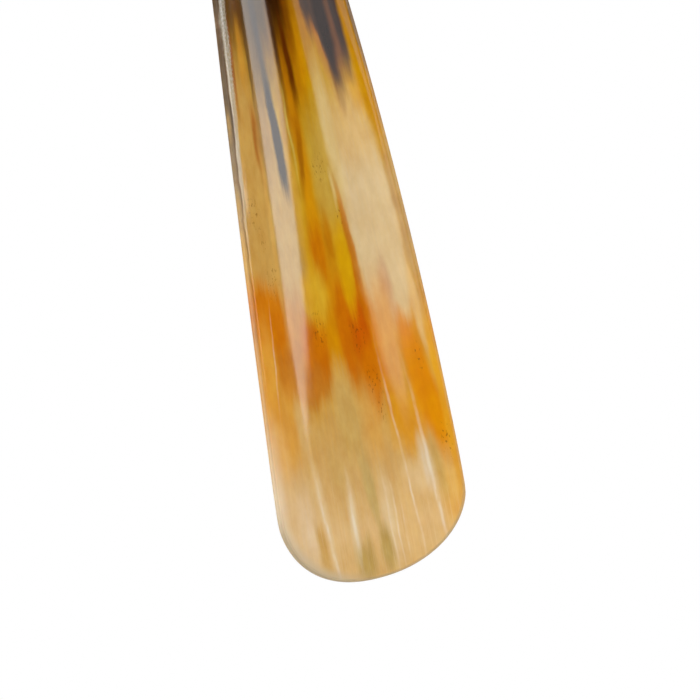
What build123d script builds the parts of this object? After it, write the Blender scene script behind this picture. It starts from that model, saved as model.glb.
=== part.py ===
"""Long shoehorn: a pressed ox-horn blade on a turned hardwood handle, hung by a leather loop.

The blade's neck and the handle's foot meet inside a brass ferrule, on a steel stud.
A brass cap closes the handle, and a leather strap runs through a brass eyelet below it.

Units are millimetres. Heights are measured up from the blade's tip. The frame's origin lies on
the handle's axis at the middle of the grip, +Z points up the handle, and the blade's hollow
side faces -Y.
"""

import os
from math import cos, radians, sin, tan

from build123d import *

# Heights above the blade's tip
NECK_TOP = 290.0
JOINT = 305.0  # the horn's spigot and the handle's spigot meet here
FERRULE_TOP = 322.0
GRIP_MIDDLE = 430.0
EYELET = 526.0
CAP_BOTTOM = 545.0
CAP_SPIGOT_TOP = 556.0
CAP_TOP = 562.0
LOOP_TOP = 620.0

# Blade
SWEEP_RADIUS = 1800.0  # lengthwise bend that carries the tip back from the handle's axis
END_WIDTH = 50.4
END_LEFT_DEPTH, END_RIGHT_DEPTH = 21.2, 19.2  # the rounded end reaches full width at its depth
END_SHAPE = 2.2  # exponent of the superellipse that rounds the end
END_SKEW = 2.2  # degrees by which the hand-cut end runs lower on its left
END_STEPS = 6  # points on each half of the end's outline

# Each station of the blade is height, width, hollow (depth of the middle behind the rims),
# thickness, and roundness, from 0 for a thin shell with rounded rims to 1 for an oval.
STATIONS = [
    (-8, 50.8, 5.6, 2.1, 0.0),
    (20, 50.0, 6.6, 2.1, 0.0),
    (50, 47.6, 7.5, 2.2, 0.0),
    (85, 43.8, 8.1, 2.3, 0.0),
    (120, 38.9, 8.2, 2.5, 0.0),
    (150, 33.9, 7.7, 2.9, 0.05),
    (178, 28.8, 6.6, 3.6, 0.15),
    (205, 24.0, 5.0, 4.8, 0.35),
    (230, 19.8, 3.1, 6.8, 0.6),
    (254, 16.4, 1.3, 9.4, 0.85),
    (274, 14.3, 0.3, 12.0, 1.0),
    (NECK_TOP, 13.6, 0.0, 13.4, 1.0),
]

# Joint between blade and handle
SPIGOT_R = 6.2
FERRULE_R, BEAD_R, BEAD_H = 7.6, 8.3, 2.4
STUD_R, STUD_LENGTH, STUD_CHAMFER = 3.0, 56.0, 0.6
PIN_R, PIN_LENGTH, PIN_HEAD_R, PIN_HEAD_H = 0.6, 3.2, 1.2, 0.5
HEAD_TAPER = 25  # degrees, on the pins' and the rivet's heads

# Handle, as heights and radii
GRIP_PROFILE = [(345, 8.7), (390, 10.2), (440, 10.9), (490, 10.5), (525, 9.75)]
CAP_R, CAP_WALL, CAP_DOME, CAP_EDGE = 9.4, 1.1, 1.6, 0.8
SCREW_HEAD_R, SCREW_HEAD_H, SCREW_CROWN = 3.3, 1.7, 0.5
SCREW_R, SCREW_TIP, SCREW_POINT = 1.7, 539.0, 3.0
SLOT_WIDTH, SLOT_DEPTH = 0.8, 0.9

# Eyelet
BORE_R, BARREL_R, FLANGE_R, FLANGE_H = 3.0, 3.5, 4.5, 0.8
SEAT_X, SEAT_R = 8.5, 4.7  # round flats in the wood that the flanges sit on

# Loop: a strap through the eyelet, with its ends lapped and riveted on the left leg
STRAP_W, STRAP_T = 5.0, 1.8
FOOT_X, HEAD_X = 12.6, 10.4
FOOT_BEND, HEAD_BEND = 3.4, 9.0
LAP_LOW, LAP_HIGH = 566.0, 582.0
RIVET_R, RIVET_HEAD_R, RIVET_HEAD_H = 1.1, 2.1, 0.7


def level(height):
    """The horizontal plane at a height above the blade's tip."""
    return Plane.XY.offset(height - GRIP_MIDDLE)


def sweep_back(height):
    """How far the middle of the blade lies behind the handle's axis."""
    return max(0.0, NECK_TOP - height) ** 2 / (2 * SWEEP_RADIUS)


def shell_point(station, across, side):
    """A point of a blade section. Across runs from -1 to 1 between the rims; side is 1 at the back."""
    height, width, hollow, thickness, _ = station
    slope = -4 * hollow * across / width
    length = (1 + slope**2) ** 0.5
    out = side * thickness / 2 / length
    return (across * width / 2 - out * slope, sweep_back(height) - hollow * across**2 + out)


def blade_section(station):
    """One closed section of the blade: its back, right rim, front and left rim."""
    height, width, hollow, thickness, roundness = station
    corner = cos(radians(45))
    inset = thickness / 2 * (1 - roundness) + (1 - corner) * width / 2 * roundness
    shoulder = 1 - inset / (width / 2)
    at_shoulder = (height, width, hollow, thickness * (1 - roundness * (1 - corner)), roundness)
    back_right, back_left, front_right, front_left = (
        shell_point(at_shoulder, across * shoulder, side) for side in (1, -1) for across in (1, -1)
    )
    rim_y = sweep_back(height) - hollow
    with BuildSketch(level(height)) as section:
        with BuildLine():
            ThreePointArc(back_left, shell_point(station, 0, 1), back_right)
            ThreePointArc(back_right, (width / 2, rim_y), front_right)
            ThreePointArc(front_right, shell_point(station, 0, -1), front_left)
            ThreePointArc(front_left, (-width / 2, rim_y), back_left)
        make_face()
    return section.sketch


def end_outline():
    """Points along the blade's rounded end, from its left side to its right."""
    points = []
    for step in range(-END_STEPS, END_STEPS + 1):
        angle = radians(90 * step / END_STEPS)
        reach = abs(sin(angle)) ** (2 / END_SHAPE) * END_WIDTH / 2
        x = reach if step > 0 else -reach
        depth = END_RIGHT_DEPTH if step > 0 else END_LEFT_DEPTH
        rise = depth * (1 - cos(angle) ** (2 / END_SHAPE))
        points.append((x, rise + x * tan(radians(END_SKEW)) - GRIP_MIDDLE))
    return points


def blade_ends_below():
    """The block that is cut away below the blade's rounded end."""
    outline = end_outline()
    side, below = END_WIDTH, outline[0][1] - 2 * END_LEFT_DEPTH
    with BuildPart() as block:
        with BuildSketch(Plane.XZ.offset(-END_WIDTH)):
            with BuildLine():
                Spline(outline, tangents=[(0, -1), (0, 1)])
                Polyline(outline[-1], (side, outline[-1][1]), (side, below), (-side, below))
                Polyline((-side, below), (-side, outline[0][1]), outline[0])
            make_face()
        extrude(amount=2 * END_WIDTH)
    return block.part


def joint_stud():
    """The steel stud that the horn and the handle are both glued to."""
    with BuildPart() as stud:
        with BuildSketch(level(JOINT - STUD_LENGTH / 2)):
            Circle(STUD_R)
        extrude(amount=STUD_LENGTH)
        chamfer(stud.edges().filter_by(GeomType.CIRCLE), STUD_CHAMFER)
    return stud.part


def ferrule_pins():
    """Four escutcheon pins through the ferrule: two into the horn and two into the wood."""
    with BuildPart() as pins:
        for height in ((NECK_TOP + JOINT) / 2, (JOINT + FERRULE_TOP) / 2):
            for side in (-1, 1):
                seat = Plane((side * FERRULE_R, 0, height - GRIP_MIDDLE), (0, 1, 0), (side, 0, 0))
                with BuildSketch(seat.offset(-PIN_LENGTH)):
                    Circle(PIN_R)
                extrude(amount=PIN_LENGTH)
                with BuildSketch(seat):
                    Circle(PIN_HEAD_R)
                extrude(amount=PIN_HEAD_H, taper=HEAD_TAPER)
    return pins.part


def horn_blade(stud, pins):
    """The hollow blade, its oval neck, and the round spigot that enters the ferrule."""
    with BuildPart() as blade:
        loft([blade_section(station) for station in STATIONS])
        add(blade_ends_below(), mode=Mode.SUBTRACT)
        with BuildSketch(level(NECK_TOP)):
            Circle(SPIGOT_R)
        extrude(amount=JOINT - NECK_TOP)
        add(stud, mode=Mode.SUBTRACT)
        add(pins, mode=Mode.SUBTRACT)
    return blade.part


def ferrule(pins):
    """The brass tube over both spigots, with a bead at its foot."""
    bottom, top = NECK_TOP - GRIP_MIDDLE, FERRULE_TOP - GRIP_MIDDLE
    bead_middle, bead_top = bottom + BEAD_H / 2, bottom + BEAD_H
    with BuildPart() as tube:
        with BuildSketch(Plane.XZ):
            with BuildLine():
                Line((SPIGOT_R, bottom), (FERRULE_R, bottom))
                ThreePointArc((FERRULE_R, bottom), (BEAD_R, bead_middle), (FERRULE_R, bead_top))
                Polyline((FERRULE_R, bead_top), (FERRULE_R, top), (SPIGOT_R, top), (SPIGOT_R, bottom))
            make_face()
        revolve(axis=Axis.Z)
        add(pins, mode=Mode.SUBTRACT)
    return tube.part


def cap_screw():
    """The raised countersunk wood screw in the middle of the cap, with a straight slot."""
    tip, head = SCREW_TIP - GRIP_MIDDLE, CAP_TOP - GRIP_MIDDLE
    with BuildPart() as screw:
        with BuildSketch(Plane.XZ):
            with BuildLine():
                Polyline(
                    (0, head + SCREW_CROWN),
                    (0, tip),
                    (SCREW_R, tip + SCREW_POINT),
                    (SCREW_R, head - SCREW_HEAD_H),
                    (SCREW_HEAD_R, head),
                )
                ThreePointArc(
                    (SCREW_HEAD_R, head),
                    (SCREW_HEAD_R / 2, head + 0.75 * SCREW_CROWN),
                    (0, head + SCREW_CROWN),
                )
            make_face()
        revolve(axis=Axis.Z)
        with BuildSketch(Plane.XY.offset(head + SCREW_CROWN)):
            Rectangle(3 * SCREW_HEAD_R, SLOT_WIDTH)
        extrude(amount=-SLOT_DEPTH, mode=Mode.SUBTRACT)
    return screw.part


def end_cap(screw):
    """The turned brass cap over the handle's upper spigot, countersunk for its screw."""
    bottom, top = CAP_BOTTOM - GRIP_MIDDLE, CAP_TOP - GRIP_MIDDLE
    inner_r, ceiling = CAP_R - CAP_WALL, CAP_SPIGOT_TOP - GRIP_MIDDLE
    rim, middle_r = top - CAP_DOME, (CAP_R + SCREW_HEAD_R) / 2
    with BuildPart() as cap:
        with BuildSketch(Plane.XZ):
            with BuildLine():
                Polyline((SCREW_R, ceiling), (inner_r, ceiling), (inner_r, bottom))
                Polyline((inner_r, bottom), (CAP_R, bottom), (CAP_R, rim))
                ThreePointArc((CAP_R, rim), (middle_r, top - CAP_DOME / 4), (SCREW_HEAD_R, top))
                Polyline((SCREW_HEAD_R, top), (SCREW_R, top - SCREW_HEAD_H), (SCREW_R, ceiling))
            make_face()
        revolve(axis=Axis.Z)
        outer_rim = cap.edges().filter_by(GeomType.CIRCLE).filter_by_position(Axis.Z, rim, rim)
        fillet(outer_rim, CAP_EDGE)
        add(screw, mode=Mode.SUBTRACT)
    return cap.part


def handle_grip(stud, pins, screw):
    """The turned hardwood handle, bored for the stud, the cap's screw and the eyelet."""
    joint, foot, top = JOINT - GRIP_MIDDLE, FERRULE_TOP - GRIP_MIDDLE, CAP_BOTTOM - GRIP_MIDDLE
    spigot_top, spigot_r = CAP_SPIGOT_TOP - GRIP_MIDDLE, CAP_R - CAP_WALL
    turned = [(radius, height - GRIP_MIDDLE) for height, radius in GRIP_PROFILE]
    with BuildPart() as grip:
        with BuildSketch(Plane.XZ):
            with BuildLine():
                Polyline((0, joint), (SPIGOT_R, joint), (SPIGOT_R, foot), (FERRULE_R, foot))
                Spline((FERRULE_R, foot), *turned, (CAP_R, top))
                Polyline((CAP_R, top), (spigot_r, top), (spigot_r, spigot_top), (0, spigot_top), (0, joint))
            make_face()
        revolve(axis=Axis.Z)
        for side in (-1, 1):
            seat = Plane((side * SEAT_X, 0, EYELET - GRIP_MIDDLE), (0, 1, 0), (side, 0, 0))
            with BuildSketch(seat):
                Circle(SEAT_R)
            extrude(amount=2 * FLANGE_H, mode=Mode.SUBTRACT)
        with BuildSketch(Plane.YZ.offset(-SEAT_X)):
            with Locations((0, EYELET - GRIP_MIDDLE)):
                Circle(BARREL_R)
        extrude(amount=2 * SEAT_X, mode=Mode.SUBTRACT)
        for piece in (stud, pins, screw):
            add(piece, mode=Mode.SUBTRACT)
    return grip.part


def eyelet_ring(bore, outer, start, length):
    """A round ring about the eyelet's axis, from start towards +X."""
    with BuildPart() as ring:
        with BuildSketch(Plane.YZ.offset(start)):
            with Locations((0, EYELET - GRIP_MIDDLE)):
                Circle(outer)
                Circle(bore, mode=Mode.SUBTRACT)
        extrude(amount=length)
    return ring.part


def eyelet():
    """The brass eyelet: a barrel through the handle with a rounded flange on its left end."""
    with BuildPart() as piece:
        add(eyelet_ring(BORE_R, BARREL_R, -SEAT_X, 2 * SEAT_X + FLANGE_H / 2))
        add(eyelet_ring(BORE_R, FLANGE_R, -SEAT_X - FLANGE_H, FLANGE_H))
        fillet(piece.edges().filter_by(GeomType.CIRCLE).group_by(Axis.X)[0], FLANGE_H / 3)
    return piece.part


def eyelet_washer():
    """The brass washer that the eyelet's right end is set into."""
    with BuildPart() as piece:
        add(eyelet_ring(BARREL_R, FLANGE_R, SEAT_X, FLANGE_H / 2))
        add(eyelet_ring(BORE_R, FLANGE_R, SEAT_X + FLANGE_H / 2, FLANGE_H / 2))
        fillet(piece.edges().filter_by(GeomType.CIRCLE).group_by(Axis.X)[-1], FLANGE_H / 3)
    return piece.part


def leg_x(height):
    """Distance of the strap's middle line from the handle's axis on the leaning legs."""
    return FOOT_X - (FOOT_X - HEAD_X) * (height - EYELET) / (LOOP_TOP - EYELET)


def lap_point(height, layers_out):
    """A point of the left leg's middle line on the XZ plane, moved out by a number of strap layers.

    The inner layer's outer face is half a layer out, and the outer layer's is one and a half.
    """
    lean = (FOOT_X - HEAD_X) / (LOOP_TOP - EYELET)
    outwards = Vector(-1, lean).normalized()
    return Vector(-leg_x(height), height - GRIP_MIDDLE) + outwards * STRAP_T * layers_out


def rivet_plane(layers_out):
    """A plane across the rivet at the middle of the lap, facing outwards."""
    middle = (LAP_LOW + LAP_HIGH) / 2
    seat = Plane.XZ.from_local_coords(lap_point(middle, layers_out))
    inner_seat = Plane.XZ.from_local_coords(lap_point(middle, layers_out - 1))
    return Plane(seat, x_dir=(0, 1, 0), z_dir=seat - inner_seat)


def loop_rivet_post():
    """The rivet's post, with the head that shows on the inside of the loop."""
    with BuildPart() as post:
        with BuildSketch(rivet_plane(-0.5)):
            Circle(RIVET_R)
        extrude(amount=2 * STRAP_T)
        with BuildSketch(rivet_plane(-0.5)):
            Circle(RIVET_HEAD_R)
        extrude(amount=-RIVET_HEAD_H, taper=HEAD_TAPER)
    return post.part


def loop_rivet_cap():
    """The rivet's cap on the outside of the loop."""
    with BuildPart() as cap:
        with BuildSketch(rivet_plane(1.5)):
            Circle(RIVET_HEAD_R)
        extrude(amount=RIVET_HEAD_H, taper=HEAD_TAPER)
    return cap.part


def hanging_loop(post):
    """The leather strap: through the eyelet, up both sides of the cap, and lapped on the left leg."""
    foot, head = EYELET - GRIP_MIDDLE, LOOP_TOP - GRIP_MIDDLE
    with BuildPart() as strap:
        with BuildSketch(Plane.XZ):
            with BuildLine():
                FilletPolyline(
                    (-HEAD_X, head),
                    (HEAD_X, head),
                    (FOOT_X, foot),
                    (-FOOT_X, foot),
                    radius=[HEAD_BEND, HEAD_BEND, FOOT_BEND, FOOT_BEND],
                    close=True,
                )
            make_face()
            offset(amount=STRAP_T / 2)
            offset(amount=-STRAP_T, mode=Mode.SUBTRACT)
            Polygon(
                lap_point(LAP_LOW, 0),
                lap_point(LAP_LOW, 0.5),
                lap_point(LAP_LOW + 2 * STRAP_T, 1.5),
                lap_point(LAP_HIGH, 1.5),
                lap_point(LAP_HIGH, 0),
                align=None,
            )
        extrude(amount=STRAP_W / 2, both=True)
        add(post, mode=Mode.SUBTRACT)
    return strap.part


def export(name, shape):
    """Writes one piece as its own STEP file."""
    shape.label = name
    export_step(shape, f"parts/{name}.step")


def main():
    os.makedirs("parts", exist_ok=True)
    stud = joint_stud()
    pins = ferrule_pins()
    screw = cap_screw()
    post = loop_rivet_post()
    export("horn_blade", horn_blade(stud, pins))
    export("joint_stud", stud)
    export("ferrule", ferrule(pins))
    export("ferrule_pins", pins)
    export("handle_grip", handle_grip(stud, pins, screw))
    export("end_cap", end_cap(screw))
    export("cap_screw", screw)
    export("eyelet", eyelet())
    export("eyelet_washer", eyelet_washer())
    export("hanging_loop", hanging_loop(post))
    export("loop_rivet_post", post)
    export("loop_rivet_cap", loop_rivet_cap())


main()
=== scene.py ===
"""Looks of the long shoehorn: polished ox horn, turned walnut, brass and strap leather.

Everything is in metres, in the CAD frame: +Z up the handle, the blade's hollow side facing -Y.
The sizes of the blade and the strap are written in millimetres, and heights are counted from the tip.
"""

import math

import bpy
import numpy as np
from mathutils import Matrix, Vector


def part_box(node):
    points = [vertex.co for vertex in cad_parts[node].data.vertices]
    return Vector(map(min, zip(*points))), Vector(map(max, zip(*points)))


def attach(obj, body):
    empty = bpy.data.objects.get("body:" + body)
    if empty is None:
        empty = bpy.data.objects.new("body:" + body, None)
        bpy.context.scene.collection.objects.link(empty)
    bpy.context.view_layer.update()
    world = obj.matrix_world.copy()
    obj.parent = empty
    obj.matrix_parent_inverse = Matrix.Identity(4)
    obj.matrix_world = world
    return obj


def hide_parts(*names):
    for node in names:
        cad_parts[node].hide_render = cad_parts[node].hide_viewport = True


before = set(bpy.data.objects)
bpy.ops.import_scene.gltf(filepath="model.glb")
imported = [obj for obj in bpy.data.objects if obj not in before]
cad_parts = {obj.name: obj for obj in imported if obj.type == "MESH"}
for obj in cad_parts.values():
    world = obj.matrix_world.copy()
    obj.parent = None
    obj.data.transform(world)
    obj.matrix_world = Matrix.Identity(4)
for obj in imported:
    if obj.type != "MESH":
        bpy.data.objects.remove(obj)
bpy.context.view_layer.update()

MM_PER_M = 1000
TINY = 1e-6
TIP_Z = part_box("horn_blade")[0].z


def add_object(name, data):
    """An object in the scene, for a mesh or a camera."""
    piece = bpy.data.objects.new(name, data)
    bpy.context.scene.collection.objects.link(piece)
    return piece


def add_sheet(name, points):
    """An object with one flat face."""
    mesh = bpy.data.meshes.new(name)
    mesh.from_pydata(points, [], [range(len(points))])
    return add_object(name, mesh)


def add_smooth(name, verts, faces, labels, info):
    """A smooth object, with points in metres; info holds one number per label for each point."""
    mesh = bpy.data.meshes.new(name)
    mesh.from_pydata(verts, [], faces)
    for label, values in zip(labels, zip(*info)):
        attribute = mesh.attributes.new(label, "FLOAT", "POINT")
        attribute.data.foreach_set("value", np.array(values, np.float32))
    mesh.shade_smooth()
    return add_object(name, mesh)


# ---------------- blade shape

NECK_TOP = 290.0
SPIGOT_TOP, SPIGOT_R = 305.0, 6.15
SWEEP_RADIUS = 1800.0
END_WIDTH, END_LEFT_DEPTH, END_RIGHT_DEPTH = 50.4, 21.2, 19.2
END_SHAPE = 2.2  # how square the rounded end is
END_SLOPE = math.tan(math.radians(2.2))  # the end is skewed, lower on the left

# height, width, hollow, thickness, roundness, as in the CAD part
STATIONS = np.array([
    (-8, 50.8, 5.6, 2.1, 0.0),
    (20, 50.0, 6.6, 2.1, 0.0),
    (50, 47.6, 7.5, 2.2, 0.0),
    (85, 43.8, 8.1, 2.3, 0.0),
    (120, 38.9, 8.2, 2.5, 0.0),
    (150, 33.9, 7.7, 2.9, 0.05),
    (178, 28.8, 6.6, 3.6, 0.15),
    (205, 24.0, 5.0, 4.8, 0.35),
    (230, 19.8, 3.1, 6.8, 0.6),
    (254, 16.4, 1.3, 9.4, 0.85),
    (274, 14.3, 0.3, 12.0, 1.0),
    (NECK_TOP, 13.6, 0.0, 13.4, 1.0),
])
HALF_COLUMNS = 56
RIM_SHAPE = 2.7  # how square a thin rim is
RIM_SHARE = 0.16  # share of the columns that go round a thin rim
END_ROWS, BODY_ROWS = 14, 330
END_BAND = 3.0  # height of the closely spaced rows along the end
END_SPREAD = 1.7  # how much closer the rows get towards the end
END_CORNER = 0.8 * END_WIDTH / 2  # where the mesh's end row turns into its side columns
END_ZONE = 2 * END_LEFT_DEPTH  # below this height, the end may be nearer than the rims
OUTLINE_TOP = 3 * END_LEFT_DEPTH  # top of the outline that distances are measured to
END_POINTS, RIM_POINTS = 1200, 1500  # of that outline, round the end and up each rim
CORNER_BLEND = 0.5  # how gently the end runs into the rims
EDGE_PASSES = 8  # repetitions that find the skewed end at a height
DISTANCE_CHUNKS = 60  # parts in which distances are worked out, to spare memory
POLISHED_OFF = 0.02  # how far the polished faces lie inside the CAD faces
# Long shallow waves left by hand polishing: depth, turn per millimetre across and up, start
POLISHING_WAVES = [(0.0154, 0.62, 0.021, 0.6), (0.0098, 1.13, -0.034, 2.1), (0.0084, 0.31, 0.083, 0.0)]
BACK_SHIFT = 31.0  # moves the waves on the back sideways


def blade_sizes(height):
    """Width, hollow, thickness and roundness at each height, on a smooth curve through the stations."""
    levels = STATIONS[:, 0]
    height = np.clip(height, levels[0], levels[-1])
    below = np.clip(np.searchsorted(levels, height) - 1, 0, len(levels) - 2)
    step = levels[below + 1] - levels[below]
    t = (height - levels[below]) / step
    sizes = []
    for values in STATIONS[:, 1:].T:
        slopes = np.gradient(values, levels)
        sizes.append(
            (2 * t**3 - 3 * t**2 + 1) * values[below]
            + (t**3 - 2 * t**2 + t) * step * slopes[below]
            + (3 * t**2 - 2 * t**3) * values[below + 1]
            + (t**3 - t**2) * step * slopes[below + 1]
        )
    return sizes


def rim_reach(width, thickness, roundness):
    """How far in from the outline the rim's rounding goes: half the thickness, or all of a round neck."""
    return np.minimum(thickness / 2 * (1 - roundness) + width / 2 * roundness, width / 2)


def end_height(x):
    """Height of the rounded end's edge at x."""
    share = np.minimum(np.abs(x) / (END_WIDTH / 2), 1)
    depth = np.where(x > 0, END_RIGHT_DEPTH, END_LEFT_DEPTH)
    return depth * (1 - (1 - share**END_SHAPE) ** (1 / END_SHAPE)) + x * END_SLOPE


def outline_half(height, side):
    """Distance from the middle line to the outline, above the end's corners; side -1 is left, 1 right."""
    depth = np.where(np.asarray(side) > 0, END_RIGHT_DEPTH, END_LEFT_DEPTH)
    end = np.full(np.shape(height), END_WIDTH / 2)
    for _ in range(EDGE_PASSES):
        above = np.clip(1 - (height - side * end * END_SLOPE) / depth, 0, 1)
        end = (1 - above**END_SHAPE) ** (1 / END_SHAPE) * END_WIDTH / 2
    rim = blade_sizes(height)[0] / 2
    blend = np.maximum(CORNER_BLEND - np.abs(rim - end), 0)
    return np.minimum(rim, end) - blend**2 / (4 * CORNER_BLEND)


def flat_outline():
    """Closely spaced points along the outline: down the left rim, round the end and up the right rim."""
    across = np.linspace(-END_CORNER, END_CORNER, END_POINTS)
    end = np.stack([across, end_height(across)], 1)
    rims = []
    for side in (-1, 1):
        up = np.linspace(end_height(side * END_CORNER), OUTLINE_TOP, RIM_POINTS)
        rims.append(np.stack([side * outline_half(up, side), up], 1))
    left, right = rims
    return np.concatenate([left[::-1], end, right])


def distance_to_edge(x, height):
    """Shortest distance of each point to the rims and the end, in the flat outline."""
    outline = flat_outline()
    distance = outline_half(height, np.sign(x)) - np.abs(x)
    near = height < END_ZONE
    points = np.stack([x[near], height[near]], 1)
    gaps = []
    for chunk in np.array_split(points, DISTANCE_CHUNKS):
        nearest = np.hypot(*(chunk[:, None] - outline[None]).transpose(2, 0, 1)).argmin(1)
        gap = np.full(len(chunk), np.inf)
        for first in (nearest - 1, nearest):
            first = np.clip(first, 0, len(outline) - 2)
            start, run = outline[first], outline[first + 1] - outline[first]
            t = np.clip(((chunk - start) * run).sum(1) / (run**2).sum(1), 0, 1)
            gap = np.minimum(gap, np.hypot(*(chunk - start - t[:, None] * run).T))
        gaps.append(gap)
    distance[near] = np.concatenate(gaps)
    return np.maximum(distance, 0)


def column_x(share, height, half_width):
    """Spreads the columns over the width: evenly in angle round the rims, evenly in between."""
    _, _, thickness, roundness = blade_sizes(height)
    rim = rim_reach(2 * half_width, thickness, roundness)
    part = RIM_SHARE + (1 - RIM_SHARE) * roundness
    inwards = 1 - np.abs(share)
    angle = np.minimum(inwards / part, 1) * math.pi / 2
    flat = np.clip((inwards - part) / np.maximum(1 - part, TINY), 0, 1)
    depth = rim * (1 - np.cos(angle)) + (half_width - rim) * flat
    return np.sign(share) * (half_width - depth)


def blade_grid():
    """Column and row positions of the blade's two faces, as x and height arrays."""
    share = np.linspace(-1, 1, 2 * HALF_COLUMNS + 1)
    side = np.where(share > 0, 1, -1)
    start_x = column_x(share, np.zeros_like(share), END_CORNER)
    start = np.stack([end_height(start_x), end_height(side * END_CORNER)])
    rows = [start + END_BAND * (k / END_ROWS) ** END_SPREAD for k in range(END_ROWS)]
    for k in range(BODY_ROWS + 1):
        rows.append(start + END_BAND + (NECK_TOP - start - END_BAND) * k / BODY_ROWS)
    rows = np.array(rows)
    half_width = outline_half(rows[:, 1], side)
    half_width[0] = END_CORNER
    return column_x(share, rows[:, 1], half_width), rows[:, 0]


def polishing_waves(x, height):
    """Depth of the waves that hand polishing has left."""
    return sum(
        depth * np.sin(x * across + height * up + start) for depth, across, up, start in POLISHING_WAVES
    )


def blade_surfaces(x, height, edge):
    """x and y of every grid point, first for the hollow side and then for the back."""
    width, hollow, thickness, roundness = blade_sizes(height)
    inner = 1 - np.minimum(edge / rim_reach(width, thickness, roundness), 1)
    half = thickness / 2 * (1 - inner**RIM_SHAPE) ** (1 / RIM_SHAPE)
    across = 2 * x / width
    slope = -4 * hollow * across / width
    middle_y = np.maximum(0, NECK_TOP - height) ** 2 / (2 * SWEEP_RADIUS) - hollow * across**2
    surfaces = []
    for sign, shift in ((-1, 0), (1, BACK_SHIFT)):
        wave = polishing_waves(x + shift, height) * np.minimum(half, 1)
        out = sign * (half - POLISHED_OFF + wave) / np.sqrt(1 + slope**2)
        out = np.where(half < POLISHED_OFF, 0, out)
        surfaces.append((x - out * slope, middle_y + out))
    return surfaces


def blade_faces(index):
    """The quads of both surfaces, from their points' numbers by surface, row and column."""
    faces = []
    for surface, grid in enumerate(index):
        for row, next_row in zip(grid, grid[1:]):
            for a, b, c, d in zip(row, row[1:], next_row[1:], next_row):
                faces.append([a, b, c, d] if surface == 0 else [d, c, b, a])
    return faces


def add_spigot(ring, verts, info, faces):
    """Continues the neck's top ring as a shoulder, a round spigot and its flat end."""
    for level in (NECK_TOP, SPIGOT_TOP):
        new_ring = []
        for v in ring:
            x, y, _ = verts[v]
            scale = SPIGOT_R / max(math.hypot(x, y), TINY)
            new_ring.append(len(verts))
            verts.append((x * scale, y * scale, level))
            info.append((info[v][0], level, SPIGOT_R))
        for k, v in enumerate(ring):
            after = (k + 1) % len(ring)
            faces.append([v, ring[after], new_ring[after], new_ring[k]])
        ring = new_ring
    faces.append(ring)


def blade_object():
    """The polished horn blade with rounded rims and end, and its spigot inside the ferrule."""
    x, height = blade_grid()
    across = 2 * x / blade_sizes(height)[0]
    edge = distance_to_edge(x, height)
    rows, columns = x.shape
    verts, info = [], []
    index = np.zeros((2, rows, columns), int)
    for surface, (surface_x, surface_y) in enumerate(blade_surfaces(x, height, edge)):
        for r, c in np.ndindex(rows, columns):
            on_outline = r == 0 or c in (0, columns - 1)
            if surface == 1 and on_outline:
                index[1, r, c] = index[0, r, c]
                continue
            index[surface, r, c] = len(verts)
            verts.append((surface_x[r, c], surface_y[r, c], height[r, c]))
            info.append((across[r, c], height[r, c], edge[r, c]))
    faces = blade_faces(index)
    front_ring, back_ring = list(index[0, -1]), list(index[1, -1])
    add_spigot(front_ring + back_ring[-2:0:-1], verts, info, faces)
    lowest = height.min()
    placed = [(x / MM_PER_M, y / MM_PER_M, TIP_Z + (z - lowest) / MM_PER_M) for x, y, z in verts]
    return add_smooth("horn_blade_polished", placed, faces, ("across", "height", "edge"), info)


# ---------------- node helpers


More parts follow.
